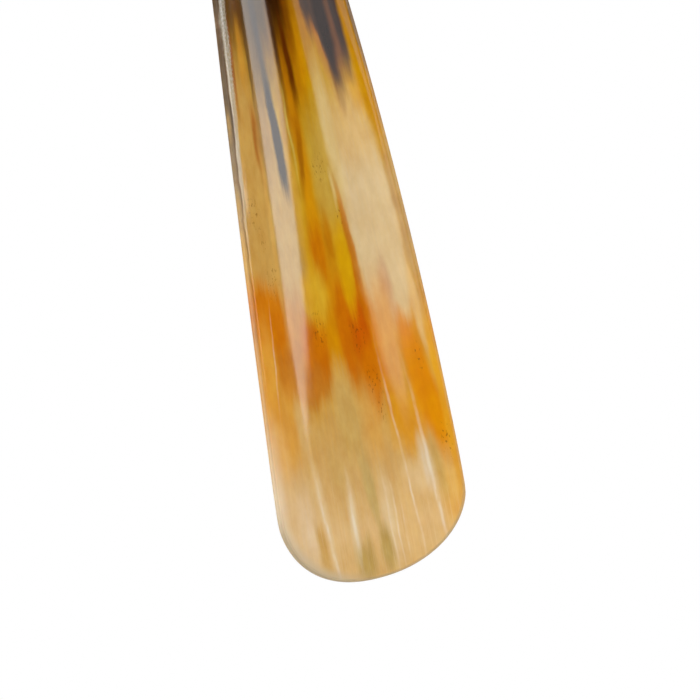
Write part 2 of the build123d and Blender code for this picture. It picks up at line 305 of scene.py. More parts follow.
class Nodes:
    """Short calls for building the nodes of a material, the world or a node group."""

    def __init__(self, owner):
        self.owner = owner
        if isinstance(owner, bpy.types.NodeTree):
            self.tree = owner
        else:
            owner.use_nodes = True
            self.tree = owner.node_tree

    def put(self, socket, value):
        """Links a node's output to a socket, or sets the socket's own value."""
        if isinstance(value, bpy.types.NodeSocket):
            self.tree.links.new(value, socket)
        else:
            socket.default_value = value

    def fill(self, node, **inputs):
        """Puts values into a node's inputs, which are named with _ for a space."""
        for name, value in inputs.items():
            self.put(node.inputs[name.replace("_", " ")], value)
        return node

    def shade(self, shader="Principled BSDF", **inputs):
        """Sets the shader's inputs, and returns the material that it belongs to."""
        self.fill(self.tree.nodes[shader], **inputs)
        return self.owner

    def node(self, kind, **inputs):
        return self.fill(self.tree.nodes.new(kind), **inputs)

    def math(self, operation, *values):
        node = self.tree.nodes.new("ShaderNodeMath")
        node.operation = operation
        for socket, value in zip(node.inputs, values):
            self.put(socket, value)
        return node.outputs[0]

    def times(self, a, b):
        return self.math("MULTIPLY", a, b)

    def add(self, base, value, factor):
        """base + value * factor."""
        return self.math("MULTIPLY_ADD", value, factor, base)

    def shift(self, base, noise, reach):
        """Moves base by up to half of reach to either side."""
        return self.add(base, self.math("SUBTRACT", noise, 0.5), reach)

    def rise(self, value, low, high, bottom=0.0, top=1.0):
        """bottom below low, top above high, smooth in between."""
        node = self.tree.nodes.new("ShaderNodeMapRange")
        node.interpolation_type = "SMOOTHSTEP"
        for socket, given in zip(node.inputs, (value, low, high, bottom, top)):
            self.put(socket, given)
        return node.outputs[0]

    def fall(self, value, low, high, top=1.0):
        """top below low, 1 less above high, smooth in between."""
        return self.math("SUBTRACT", top, self.rise(value, low, high))

    def choose(self, share, a, b):
        """The number a where share is 0, and b where it is 1."""
        node = self.tree.nodes.new("ShaderNodeMix")
        for socket, value in zip((node.inputs[0], node.inputs[2], node.inputs[3]), (share, a, b)):
            self.put(socket, value)
        return node.outputs[0]

    def mix(self, share, a, b, blend="MIX"):
        node = self.tree.nodes.new("ShaderNodeMix")
        node.data_type = "RGBA"
        node.blend_type = blend
        for socket, value in zip((node.inputs[0], node.inputs[6], node.inputs[7]), (share, a, b)):
            self.put(socket, value)
        return node.outputs[2]

    def tint(self, colour, mask, tone, cover=1.0, blend="MIX"):
        """Covers a colour with a screen colour where the mask is 1."""
        share = mask if cover == 1.0 else self.times(mask, cover)
        return self.mix(share, colour, srgb(*tone), blend)

    def join(self, x, y):
        return self.node("ShaderNodeCombineXYZ", X=x, Y=y).outputs[0]

    def noise(self, vector, scale=1.0, detail=3.0, rough=0.5):
        node = self.node("ShaderNodeTexNoise", Vector=vector, Scale=scale, Detail=detail, Roughness=rough)
        return node.outputs["Fac"]

    def attribute(self, name):
        node = self.tree.nodes.new("ShaderNodeAttribute")
        node.attribute_name = name
        return node.outputs["Fac"]

    def place(self, scale=(1.0, 1.0, 1.0), tilt=(0.0, 0.0, 0.0)):
        """Position on the piece in millimetres, multiplied by scale and then turned by tilt degrees."""
        coordinate = self.tree.nodes.new("ShaderNodeTexCoord")
        mapping = self.node("ShaderNodeMapping", Vector=coordinate.outputs["Object"])
        mapping.inputs["Scale"].default_value = [MM_PER_M * value for value in scale]
        mapping.inputs["Rotation"].default_value = [math.radians(value) for value in tilt]
        return mapping.outputs[0]

    def ramp(self, value, stops):
        """A colour ramp through (position, colour) stops."""
        node = self.tree.nodes.new("ShaderNodeValToRGB")
        self.put(node.inputs[0], value)
        ramp = node.color_ramp
        while len(ramp.elements) < len(stops):
            ramp.elements.new(0.5)
        for element, (at, colour) in zip(ramp.elements, stops):
            element.position = at
            element.color = colour
        return node.outputs[0]

    def bump(self, height, strength, distance):
        node = self.node("ShaderNodeBump", Height=height, Strength=strength, Distance=distance)
        return node.outputs[0]


def srgb(*screen):
    """Linear colour of a screen colour given from 0 to 255."""
    linear = []
    for value in screen:
        share = value / 255
        linear.append(((share + 0.055) / 1.055) ** 2.4 if share > 0.04045 else share / 12.92)
    return (*linear, 1.0)


# ---------------- horn

# Ground colour of the horn, by height
HORN_GROUND = [
    (0, (210, 170, 108)),
    (12, (217, 179, 122)),
    (22, (208, 168, 106)),
    (40, (202, 159, 86)),
    (50, (204, 150, 52)),
    (60, (205, 134, 6)),
    (72, (206, 148, 14)),
    (90, (199, 150, 26)),
    (108, (194, 153, 34)),
    (126, (193, 147, 5)),
    (140, (184, 124, 2)),
    (158, (120, 70, 6)),
    (185, (58, 30, 10)),
    (230, (30, 17, 9)),
    (292, (22, 13, 8)),
]
# Pigment marks, among them painted highlights and painted shade along the rims: place across (-1 left rim
# to 1 right rim) and height, half width and half length, lean across per millimetre up, taper (positive is
# wider at the top), colour, cover, softness
HORN_MARKS = [
    # left band
    (-0.8, 100, 0.27, 34, 0, 0, (197, 154, 82), 0.9, 0.35),
    (-0.84, 66, 0.32, 9.5, 0, 0, (203, 117, 0), 0.95, 0.4),
    (-0.66, 53, 0.18, 7, 0, 0, (193, 118, 32), 0.85, 0.5),
    (-0.93, 50, 0.11, 15, 0.001, 0, (220, 156, 58), 0.9, 0.5),
    (-0.76, 40, 0.18, 9, 0, 0, (214, 152, 60), 0.8, 0.6),
    (-0.6, 39, 0.06, 7, 0, 0, (206, 168, 104), 0.8, 0.6),
    (-0.92, 33, 0.12, 9, 0, 0, (222, 170, 98), 0.85, 0.6),
    (-0.8, 17, 0.22, 10, 0, 0, (218, 184, 136), 0.9, 0.6),
    (-0.68, 14, 0.09, 8, 0, 0, (222, 196, 158), 0.7, 0.7),
    (-0.63, 111, 0.055, 10, -0.002, 0, (166, 98, 34), 0.85, 0.5),
    (-0.84, 154, 0.14, 20, 0, 0.3, (84, 60, 28), 0.9, 0.6),
    (-0.66, 153, 0.12, 19, 0, 0.3, (92, 60, 32), 0.9, 0.6),
    (-0.885, 130, 0.03, 11, 0, 0, (140, 78, 36), 0.8, 0.7),
    # pale band along the left rim: a painted highlight
    (-0.95, 144, 0.052, 52, 0.0005, 0.2, (190, 176, 152), 0.9, 0.3),
    (-0.95, 156, 0.06, 24, 0, 0.2, (104, 100, 88), 0.75, 0.7),
    # dark lines on the outer edge of the left rim: painted shade
    (-1.0, 156, 0.016, 60, 0, 0, (70, 52, 30), 0.9, 0.5),
    (-0.99, 112, 0.005, 44, 0, 0, (104, 68, 32), 0.5, 0.8),
    (-0.71, 134, 0.05, 7, 0, 0, (206, 148, 50), 0.7, 0.7),
    (-0.595, 134, 0.026, 15, 0, 0.3, (84, 56, 26), 0.8, 0.7),
    # under the long reflection
    (-0.42, 92, 0.2, 28, 0, 0, (184, 150, 88), 0.85, 0.35),
    (-0.605, 92, 0.03, 22, 0, 0, (216, 170, 86), 0.7, 0.8),
    (-0.5, 118, 0.1, 16, 0, 0, (158, 122, 70), 0.8, 0.6),
    (-0.5, 144, 0.09, 18, 0, 0, (92, 74, 46), 0.75, 0.6),
    (-0.44, 59, 0.14, 13, 0, 0, (184, 120, 8), 0.85, 0.5),
    (-0.33, 155, 0.24, 27, 0, 0.2, (62, 44, 14), 0.95, 0.6),
    (-0.375, 136, 0.048, 18, -0.0018, 0, (44, 38, 40), 0.8, 0.8),
    (-0.33, 113.5, 0.064, 15, -0.0018, -0.2, (22, 17, 24), 0.95, 0.34),
    (-0.18, 114, 0.05, 14, 0, 0, (170, 122, 10), 0.8, 0.6),
    (-0.205, 98, 0.055, 13, 0, 0, (206, 157, 54), 0.7, 0.6),
    # middle
    (0.22, 102, 0.13, 13, 0.001, 0, (198, 162, 72), 0.8, 0.7),
    (-0.02, 95, 0.08, 20, 0, 0.1, (208, 140, 0), 0.85, 0.6),
    (-0.035, 108.5, 0.04, 8.5, 0.005, 0, (148, 88, 6), 0.85, 0.6),
    (-0.03, 124, 0.09, 16, 0, 0, (184, 112, 0), 0.8, 0.6),
    (0.11, 130, 0.1, 12, 0, 0, (182, 106, 0), 0.6, 0.7),
    (0.24, 131, 0.07, 8, 0, 0, (208, 142, 0), 0.75, 0.7),
    (0.14, 156, 0.1, 20, 0, 0.2, (110, 56, 0), 0.85, 0.6),
    (-0.01, 156, 0.13, 22, 0, 0.2, (44, 16, 2), 0.95, 0.5),
    (-0.105, 143, 0.045, 19, 0, 0.3, (58, 30, 8), 0.9, 0.8),
    (0.05, 132, 0.042, 10.5, -0.001, -0.1, (84, 32, 0), 0.92, 0.6),
    (-0.03, 82, 0.085, 7, 0, 0, (195, 110, 0), 0.85, 0.6),
    (0.12, 85, 0.05, 6, 0, 0, (186, 114, 0), 0.85, 0.6),
    (-0.13, 72, 0.1, 6, 0, 0, (212, 166, 42), 0.85, 0.6),
    (0.12, 61, 0.11, 14, 0, 0.1, (196, 104, 0), 0.92, 0.5),
    (-0.27, 57.5, 0.16, 8.5, 0, 0, (198, 110, 0), 0.95, 0.4),
    (-0.32, 50, 0.16, 4, 0, 0, (186, 112, 28), 0.8, 0.6),
    (-0.27, 73, 0.06, 5, 0, 0, (214, 162, 40), 0.8, 0.6),
    (-0.13, 114, 0.012, 9, 0, 0, (206, 184, 90), 0.6, 0.9),
    # short whitish line: a painted highlight
    (0.3, 99, 0.02, 4, 0, 0, (230, 208, 150), 0.5, 0.9),
    (0.31, 60, 0.11, 12, -0.001, 0.1, (196, 88, 0), 0.97, 0.45),
    (0.36, 74, 0.035, 12, -0.002, -0.1, (190, 104, 4), 0.9, 0.5),
    (0.3, 49, 0.1, 9, 0.002, 0.3, (200, 112, 0), 0.9, 0.5),
    (-0.04, 58, 0.07, 9, 0, -0.3, (208, 140, 0), 0.85, 0.5),
    (0.25, 78, 0.07, 11, 0, 0.1, (212, 160, 4), 0.92, 0.5),
    (-0.04, 42, 0.13, 11, 0, -0.2, (200, 163, 92), 0.9, 0.5),
    (0.22, 38, 0.1, 8, 0, 0, (212, 158, 76), 0.8, 0.7),
    # right part
    (0.66, 88, 0.28, 27, 0, 0, (208, 180, 130), 0.97, 0.2),
    (0.66, 113, 0.32, 9, 0, 0, (208, 168, 96), 0.8, 0.6),
    (0.4, 112, 0.07, 16, 0, 0, (214, 186, 120), 0.8, 0.6),
    (0.84, 121, 0.08, 6, 0, 0, (206, 150, 14), 0.85, 0.6),
    (0.92, 62, 0.05, 9, -0.003, 0, (218, 180, 116), 0.85, 0.5),
    (0.355, 86, 0.03, 12, -0.002, -0.1, (188, 116, 16), 0.9, 0.5),
    (0.64, 146, 0.22, 24, 0, 0.6, (168, 100, 34), 0.8, 0.4),
    (0.55, 142, 0.064, 18, -0.007, 0.2, (66, 46, 36), 0.95, 0.4),
    (0.74, 146, 0.14, 20.5, 0, 0, (104, 62, 34), 0.95, 0.3),
    (0.645, 147, 0.09, 23.5, 0, 0.3, (34, 22, 20), 0.97, 0.45),
    (0.825, 149, 0.06, 21, 0, 0.1, (46, 32, 28), 0.95, 0.5),
    (0.46, 152, 0.07, 14, 0, 0.3, (60, 44, 36), 0.92, 0.4),
    (0.65, 70, 0.06, 8, 0, 0, (190, 142, 100), 0.75, 0.6),
    (0.45, 54, 0.06, 15, -0.002, 0, (209, 126, 4), 0.9, 0.5),
    (0.79, 47, 0.12, 16, -0.003, -0.25, (213, 131, 0), 0.97, 0.35),
    (0.89, 36, 0.09, 9, -0.002, 0, (214, 137, 0), 0.95, 0.45),
    (0.57, 38, 0.16, 8, 0, 0, (213, 144, 10), 0.85, 0.6),
    (0.565, 57, 0.09, 16, 0, 0.35, (214, 152, 70), 0.9, 0.55),
    (0.6, 23, 0.15, 4, 0, 0, (220, 188, 138), 0.7, 0.7),
    (0.9, 17, 0.12, 9, 0, 0, (218, 166, 78), 0.8, 0.7),
    (0.968, 42, 0.035, 24, 0, 0, (216, 154, 30), 0.9, 0.5),
    # pale streak beside a scrape line: a painted highlight
    (0.685, 26, 0.045, 5, -0.004, 0, (220, 202, 172), 0.7, 0.8),
    (0.785, 24, 0.045, 6, -0.003, 0, (186, 152, 80), 0.6, 0.8),
    (0.965, 88, 0.045, 22, 0, 0, (182, 142, 80), 0.9, 0.5),
    (0.955, 126, 0.07, 22, 0, 0.2, (192, 134, 0), 0.95, 0.5),
    (0.965, 145, 0.05, 16, 0, 0, (140, 92, 10), 0.5, 0.7),
    # dark line on the outer edge of the right rim: painted shade
    (1.0, 165, 0.016, 42, 0, 0, (84, 62, 26), 0.8, 0.5),
    # rounded end
    # pale halos round three scrape lines: painted highlights
    (-0.48, 17, 0.035, 12, -0.004, 0, (224, 200, 158), 0.6, 0.8),
    (-0.17, 15, 0.04, 8, 0, 0, (224, 204, 166), 0.7, 0.8),
    (0.21, 14, 0.06, 8.5, 0, 0, (222, 198, 156), 0.65, 0.8),
    (0.42, 13, 0.09, 9, 0, 0, (220, 180, 118), 0.7, 0.6),
    (0.07, 22, 0.05, 9, -0.003, 0.3, (192, 164, 100), 0.85, 0.6),
    (-0.26, 28, 0.08, 6, 0, 0, (198, 160, 92), 0.7, 0.7),
    (-0.1, 4.5, 0.09, 5.5, 0, 0, (180, 148, 80), 0.9, 0.6),
    (0.14, 6.5, 0.06, 5.5, 0, 0, (182, 152, 84), 0.9, 0.6),
    (-0.56, 10, 0.05, 6, -0.004, 0, (196, 152, 78), 0.8, 0.6),
]
# Painted highlights along fine lines left by scraping: place across and height, half length, lean, half
# width, cover
SCRAPE_HIGHLIGHT_LINES = [
    (0.475, 26, 20, -0.0021, 0.010, 0.45),
    (0.72, 20, 19, -0.0022, 0.013, 0.42),
    (-0.47, 13, 10, -0.0042, 0.014, 0.5),
    (-0.165, 15, 8, -0.0005, 0.016, 0.5),
    (0.22, 14, 9, -0.001, 0.009, 0.4),
    (0.29, 12, 8, -0.001, 0.008, 0.35),
    (0.36, 11, 8, -0.001, 0.006, 0.25),
    (-0.82, 57, 9, 0.002, 0.008, 0.3),
]
# Where small brown pits gather: place across and height, half width and half length
SPECK_CLUSTERS = [
    (-0.70, 77, 0.07, 4),
    (-0.84, 94, 0.08, 3),
    (-0.76, 89, 0.04, 3),
    (0.32, 48, 0.07, 4),
    (0.35, 43, 0.05, 3),
    (0.24, 61, 0.07, 4),
    (-0.20, 64, 0.07, 4),
    (0.92, 31, 0.04, 4),
    (0.82, 52, 0.03, 3),
    (0.30, 91, 0.03, 2.5),
    (0.18, 104, 0.08, 3),
]

MARK_INPUTS = (
    "Across", "Height", "At", "Level", "Half width", "Half length", "Lean", "Taper", "Cover", "Soft"
)
MARK_SHAPE = 2.5  # exponent of a mark's outline, between an ellipse and a rectangle
LEAST_TAPER = 0.2  # a tapering mark's narrowest width, as a share of its own
RAMP_HEIGHT = 300.0  # height at the end of the ground's colour ramp
ROUGH_GLINT_PLACE = (-0.93, 138, 0.045, 18, 0.0003)  # rough pitted place on the left rim, given as a mark with its lean; its pale tone is a painted highlight

# Tones of the horn's fibres, pits and clouds, and of the painted highlights and painted shade on its
# scrape lines, rough rim patch and edges
PALE_FIBRE, LIT_FIBRE = (228, 206, 168), (235, 205, 150)
# painted highlights on the scrape lines and in the rough rim patch, and the pits' own brown
SCRAPE_HIGHLIGHT, ROUGH_GLINT, PIT = (236, 227, 208), (206, 200, 186), (112, 58, 10)
# pale painted highlight along the left of the rounded end: its low and high tones, and how much it covers
EDGE_HIGHLIGHT_LOW, EDGE_HIGHLIGHT_HIGH, EDGE_HIGHLIGHT_COVER = (194, 176, 148), (230, 210, 178), 0.75
# painted shade along the end's edge and on the outside of the left rim
END_EDGE_SHADE, LEFT_RIM_SHADE = (166, 150, 118), (132, 114, 88)
DIM_CLOUD, BRIGHT_CLOUD = (0.36, 0.34, 0.32, 1), (0.66, 0.66, 0.68, 1)  # linear


def mark_group():
    """Node group for one mark of pigment, painted highlight or painted shade: how much of the mark covers
    a point.
    """
    group = bpy.data.node_groups.new("horn_mark", "ShaderNodeTree")
    for name in MARK_INPUTS:
        group.interface.new_socket(name, in_out="INPUT", socket_type="NodeSocketFloat")
    group.interface.new_socket("Mask", in_out="OUTPUT", socket_type="NodeSocketFloat")
    mark = Nodes(group)
    given = mark.node("NodeGroupInput").outputs
    up = mark.math("SUBTRACT", given["Height"], given["Level"])
    side = mark.math("SUBTRACT", given["Across"], given["At"])
    side = mark.math("SUBTRACT", side, mark.times(up, given["Lean"]))
    side = mark.math("DIVIDE", side, given["Half width"])
    up = mark.math("DIVIDE", up, given["Half length"])
    width = mark.math("MAXIMUM", mark.add(1.0, up, given["Taper"]), LEAST_TAPER)
    side = mark.math("DIVIDE", side, width)
    side, up = [mark.math("POWER", mark.math("ABSOLUTE", value), MARK_SHAPE) for value in (side, up)]
    reach = mark.math("POWER", mark.math("ADD", side, up), 1 / MARK_SHAPE)
    outside, inside = [mark.math(how, 1.0, given["Soft"]) for how in ("ADD", "SUBTRACT")]
    mask = mark.times(mark.rise(reach, outside, inside), given["Cover"])
    mark.node("NodeGroupOutput", Mask=mask)
    return group


class HornNodes(Nodes):
    """The horn's nodes, in the blade's own coordinates: across (-1 to 1), height, distance to the edge."""

    def __init__(self):
        super().__init__(bpy.data.materials.new("horn"))
        self.across = self.attribute("across")
        self.height = self.attribute("height")
        self.edge = self.attribute("edge")
        self.marks = mark_group()
        self.fibre = self.streaks(9.0, 0.02, scale=5.0, detail=4.0, rough=0.55)
        self.wander = self.streaks(2.2, 0.05, scale=1.6)
        broad = self.streaks(3.0, 0.02, scale=2.0, detail=2.0)
        fray = self.add(1.5, self.rise(self.height, 25.0, 60.0), 3.5)
        self.frayed = self.shift(self.shift(self.height, self.fibre, fray), broad, 9.0)
        self.swayed = self.shift(self.across, self.wander, 0.07)

    def streaks(self, across, up, scale=1.0, detail=3.0, rough=0.5):
        """Noise drawn out along the blade, by its multipliers across and up."""
        place = self.join(self.times(self.across, across), self.times(self.height, up))
        return self.noise(place, scale, detail, rough)

    def mark(self, at, level, half_width, half_length, lean=0, taper=0, cover=1.0, soft=0.7, place=None):
        """Mask of one mark; its outline frays with the fibres unless place gives other coordinates."""
        across, height = place or (self.swayed, self.frayed)
        node = self.tree.nodes.new("ShaderNodeGroup")
        node.node_tree = self.marks
        values = (across, height, at, level, half_width, half_length, lean, taper, cover, soft)
        for socket, value in zip(node.inputs, values):
            self.put(socket, value)
        return node.outputs[0]


def horn_pigment(horn):
    """Amber and tan ground, pigment marks with some painted highlights and painted shade, soft clouds and
    fibres that are lit or pale.
    """
    stops = [(level / RAMP_HEIGHT, srgb(*tone)) for level, tone in HORN_GROUND]
    colour = horn.ramp(horn.math("DIVIDE", horn.frayed, RAMP_HEIGHT), stops)
    for at, level, half_width, half_length, lean, taper, tone, cover, soft in HORN_MARKS:
        mask = horn.mark(at, level, half_width, half_length, lean, taper, cover, soft)
        colour = horn.tint(colour, mask, tone)
    cloud = horn.streaks(6.0, 0.10, scale=1.3, detail=4.0, rough=0.6)
    clouds = horn.ramp(cloud, [(0.36, DIM_CLOUD), (0.64, BRIGHT_CLOUD)])
    colour = horn.mix(0.4, colour, clouds, "SOFT_LIGHT")
    colour = horn.tint(colour, horn.rise(horn.fibre, 0.35, 0.75), LIT_FIBRE, 0.16, "SOFT_LIGHT")
    thin = horn.rise(horn.streaks(24.0, 0.012, scale=4.0, rough=0.6), 0.5, 0.85)
    pale = horn.times(thin, horn.fall(horn.height, 10.0, 50.0, top=0.45))
    return horn.tint(colour, horn.math("MAXIMUM", pale, 0.0), PALE_FIBRE)


def horn_scrape_highlights(horn, colour):
    """Painted highlights along fine scrape lines, stronger and weaker along their length."""
    place = horn.shift(horn.across, horn.wander, 0.06), horn.height
    uneven = horn.add(0.3, horn.rise(horn.streaks(12.0, 0.12), 0.38, 0.62), 0.8)
    for at, level, half_length, lean, half_width, cover in SCRAPE_HIGHLIGHT_LINES:
        mask = horn.mark(at, level, half_width, half_length, lean, cover=cover, soft=1.0, place=place)
        colour = horn.tint(colour, horn.times(mask, uneven), SCRAPE_HIGHLIGHT)
    return colour


def horn_specks(horn):
    """Mask of the small brown pits, which gather in clusters."""
    clusters = 0.0
    for at, level, half_width, half_length in SPECK_CLUSTERS:
        clusters = horn.math("MAXIMUM", clusters, horn.mark(at, level, half_width, half_length))
    dots = horn.rise(horn.streaks(30.0, 0.5, scale=1.7, detail=2.0), 0.59, 0.65)
    return horn.times(dots, clusters)


def horn_edge_highlight_and_shade(horn, colour, at_edge):
    """A painted highlight in a band along the left of the end, and painted shade along the edge round the
    end and outside the left rim.
    """
    # painted highlight: a pale band along the left of the rounded end, paler higher up
    edge_highlight = horn.fall(horn.add(horn.edge, horn.wander, 1.2), 1.0, 3.8)
    edge_highlight = horn.times(edge_highlight, horn.fall(horn.across, -0.5, 0.05))
    edge_highlight = horn.times(edge_highlight, horn.fall(horn.height, 18.0, 50.0))
    edge_highlight_tone = horn.mix(horn.rise(horn.height, 4.0, 24.0), srgb(*EDGE_HIGHLIGHT_LOW), srgb(*EDGE_HIGHLIGHT_HIGH))
    colour = horn.mix(horn.times(edge_highlight, EDGE_HIGHLIGHT_COVER), colour, edge_highlight_tone)
    # painted shade along the rounded end's edge
    end = horn.times(at_edge, horn.fall(horn.height, 8.0, 36.0, top=0.55))
    colour = horn.tint(colour, horn.math("MAXIMUM", end, 0.0), END_EDGE_SHADE)
    # painted shade on the outer side of the left rim
    rim_shade = horn.times(horn.fall(horn.edge, 0.03, 0.30), horn.fall(horn.across, -0.7, -0.2))
    rim_shade = horn.times(rim_shade, horn.fall(horn.height, 60.0, 95.0))
    rim_shade = horn.times(rim_shade, horn.rise(horn.height, -8.0, 14.0))
    return horn.tint(colour, rim_shade, LEFT_RIM_SHADE, cover=0.5)


def horn_material():
    """Translucent ox horn with lengthwise pigment, fine fibres, pits, painted highlights and painted
    shade, and polish.
    """
    horn = HornNodes()
    at_edge = horn.fall(horn.edge, 0.1, 0.9)
    # rough pitted patch on the left rim: it bumps the surface, and its pale tone is a painted highlight
    rough_glint = horn.rise(horn.streaks(60.0, 1.3, rough=0.6), 0.46, 0.58)
    rough_glint = horn.times(rough_glint, horn.mark(*ROUGH_GLINT_PLACE, soft=0.5))
    specks = horn_specks(horn)
    # painted highlights along the scrape lines go over the pigment
    colour = horn_scrape_highlights(horn, horn_pigment(horn))
    colour = horn.tint(colour, rough_glint, ROUGH_GLINT, cover=0.5)
    colour = horn.tint(colour, specks, PIT, cover=0.65)
    grain = horn.streaks(60.0, 0.35, scale=2.0, detail=4.0, rough=0.6)
    ripple = horn.streaks(5.0, 0.6, detail=2.0)
    relief = horn.add(horn.times(grain, 0.25), specks, -0.6)
    relief = horn.add(horn.add(relief, ripple, 0.9), rough_glint, 0.5)
    polish = horn.add(0.06, horn.streaks(8.0, 0.2, scale=3.0, detail=4.0), 0.07)
    return horn.shade(
        Base_Color=horn_edge_highlight_and_shade(horn, colour, at_edge),
        Normal=horn.bump(relief, strength=0.03, distance=0.0002),
        Roughness=horn.add(polish, at_edge, 0.25),
        IOR=1.55,
        Subsurface_Weight=0.2,
        Subsurface_Radius=(1.0, 0.5, 0.2),
        Subsurface_Scale=0.0015,
    )


# ---------------- other materials

WALNUT_RINGS = [
    (0.16, srgb(48, 27, 16)),
    (0.38, srgb(84, 50, 30)),
    (0.58, srgb(116, 74, 45)),
    (0.80, srgb(146, 99, 62)),
]
WALNUT_FIBRES = [(0.3, srgb(70, 40, 22)), (0.7, srgb(190, 134, 84))]
WALNUT_DARK, WALNUT_PORE, WALNUT_GRIME = (66, 38, 24), (28, 15, 9), (30, 17, 10)
GRAIN_STRETCH, GRAIN_TILT = 0.045, (3.0, 4.0, 0.0)
LOG_MIDDLE, LOG_SQUASH = (23.0, 14.0, 0.0), (1.0, 0.55, 1.0)
# Heights from the handle's middle over which its grime and its polish by the hand begin and end
FOOT_GRIME, CAP_GRIME = (-107.5, -98.0), (104.0, 115.0)
GRIP_FOOT, GRIP_HEAD = (-70.0, -30.0), (50.0, 80.0)
FRECKLE_SHADE = 0.45  # of the dark tone
SCUFF_STRETCH, SCUFF_TILT = (0.7, 0.7, 5.0), (38.0, 24.0, 10.0)
LEATHER_TONES = [(0.3, srgb(78, 44, 25)), (0.5, srgb(99, 58, 33)), (0.72, srgb(128, 78, 46))]
LEATHER_CRACK, LEATHER_GRAIN = (52, 28, 16), (142, 92, 58)
LEATHER_RUBBED, LEATHER_SIDE = (158, 106, 68), (40, 22, 14)
CRACK_HALF = 0.16  # half width of the lines between the leather's grain cells


def walnut_rings(wood):
    """Growth rings of a log whose middle lies beside the handle, drawn out along the grain."""
    place = wood.place((1.0, 1.0, GRAIN_STRETCH), GRAIN_TILT)
    sway = wood.node("ShaderNodeTexNoise", Vector=place, Scale=0.07, Detail=3.0)
    log = wood.node("ShaderNodeVectorMath", Vector=wood.mix(1.0, place, sway.outputs["Color"], "ADD"))
    log.operation = "MULTIPLY_ADD"
    log.inputs[1].default_value = LOG_SQUASH
    log.inputs[2].default_value = LOG_MIDDLE
    rings = wood.node("ShaderNodeTexWave", Vector=log.outputs[0], Scale=0.11, Distortion=5.5, Detail=4.0)
    rings.inputs["Detail Scale"].default_value = 0.8
    rings.wave_type = "RINGS"
    rings.rings_direction = "Z"
    rings.wave_profile = "SAW"
    return rings.outputs["Fac"]


def walnut_material():
    """Oiled walnut turned with the grain lengthwise: growth rings, dark streaks, pores and handling."""
    wood = Nodes(bpy.data.materials.new("walnut"))
    fibres = wood.noise(wood.place((2.6, 2.6, 0.05)), detail=5.0, rough=0.65)
    blotch = wood.noise(wood.place((0.12, 0.12, 0.035)))
    pores = wood.rise(wood.noise(wood.place((7.5, 7.5, 0.42)), detail=2.0), 0.62, 0.72)
    rub = wood.noise(wood.place((0.3, 0.3, 0.1)), detail=4.0)
    height = wood.node("ShaderNodeSeparateXYZ", Vector=wood.place()).outputs["Z"]
    near_ends = wood.math("ADD", wood.fall(height, *FOOT_GRIME), wood.rise(height, *CAP_GRIME))
    grime = wood.times(near_ends, wood.rise(blotch, 0.2, 0.7))
    held = wood.math("SUBTRACT", wood.rise(height, *GRIP_FOOT), wood.rise(height, *GRIP_HEAD))
    colour = wood.ramp(wood.add(wood.times(fibres, 0.5), walnut_rings(wood), 0.55), WALNUT_RINGS)
    colour = wood.tint(colour, wood.rise(blotch, 0.45, 0.7), WALNUT_DARK, 0.5, "MULTIPLY")
    colour = wood.mix(0.22, colour, wood.ramp(fibres, WALNUT_FIBRES), "SOFT_LIGHT")
    colour = wood.tint(colour, pores, WALNUT_PORE, cover=0.8)
    matt = wood.add(wood.add(0.30, held, -0.07), rub, 0.22)
    relief = wood.add(wood.times(fibres, 0.35), pores, -1.0)
    return wood.shade(
        Base_Color=wood.tint(colour, grime, WALNUT_GRIME, cover=0.55),
        Roughness=wood.add(matt, pores, 0.25),
        Normal=wood.bump(relief, strength=0.35, distance=0.00012),
        IOR=1.48,
        Coat_Weight=0.25,
        Coat_Roughness=0.22,
    )


def metal_material(name, light, dark, rough, line_scale, wear=0.35):
    """Handled metal: tool or polishing lines, fine scratches, and dull patches that darken its colour."""
    metal = Nodes(bpy.data.materials.new(name))
    place = metal.place()
    dull = metal.rise(metal.noise(place, scale=0.32, detail=5.0, rough=0.6), 0.42, 0.72)
    tarnish = metal.times(dull, metal.add(0.5, metal.noise(place, scale=1.9, rough=0.55), 0.6))
    freckles = metal.rise(metal.noise(place, scale=4.6, detail=2.0), 0.68, 0.76)
    freckle_tone = [value * FRECKLE_SHADE for value in dark]
    lines = metal.noise(metal.place(line_scale), detail=4.0, rough=0.7)
    scuffs = metal.noise(metal.place(SCUFF_STRETCH, SCUFF_TILT), detail=2.0, rough=0.8)
    colour = metal.tint(srgb(*light), tarnish, dark, wear)
    rough = metal.add(metal.shift(rough, lines, 0.14), tarnish, 0.22)
    return metal.shade(
        Base_Color=metal.tint(colour, freckles, freckle_tone, cover=0.55),
        Roughness=metal.add(rough, metal.rise(scuffs, 0.6, 0.8), 0.12),
        Normal=metal.bump(metal.add(lines, scuffs, 0.4), strength=0.22, distance=0.00005),
        Metallic=1.0,
    )


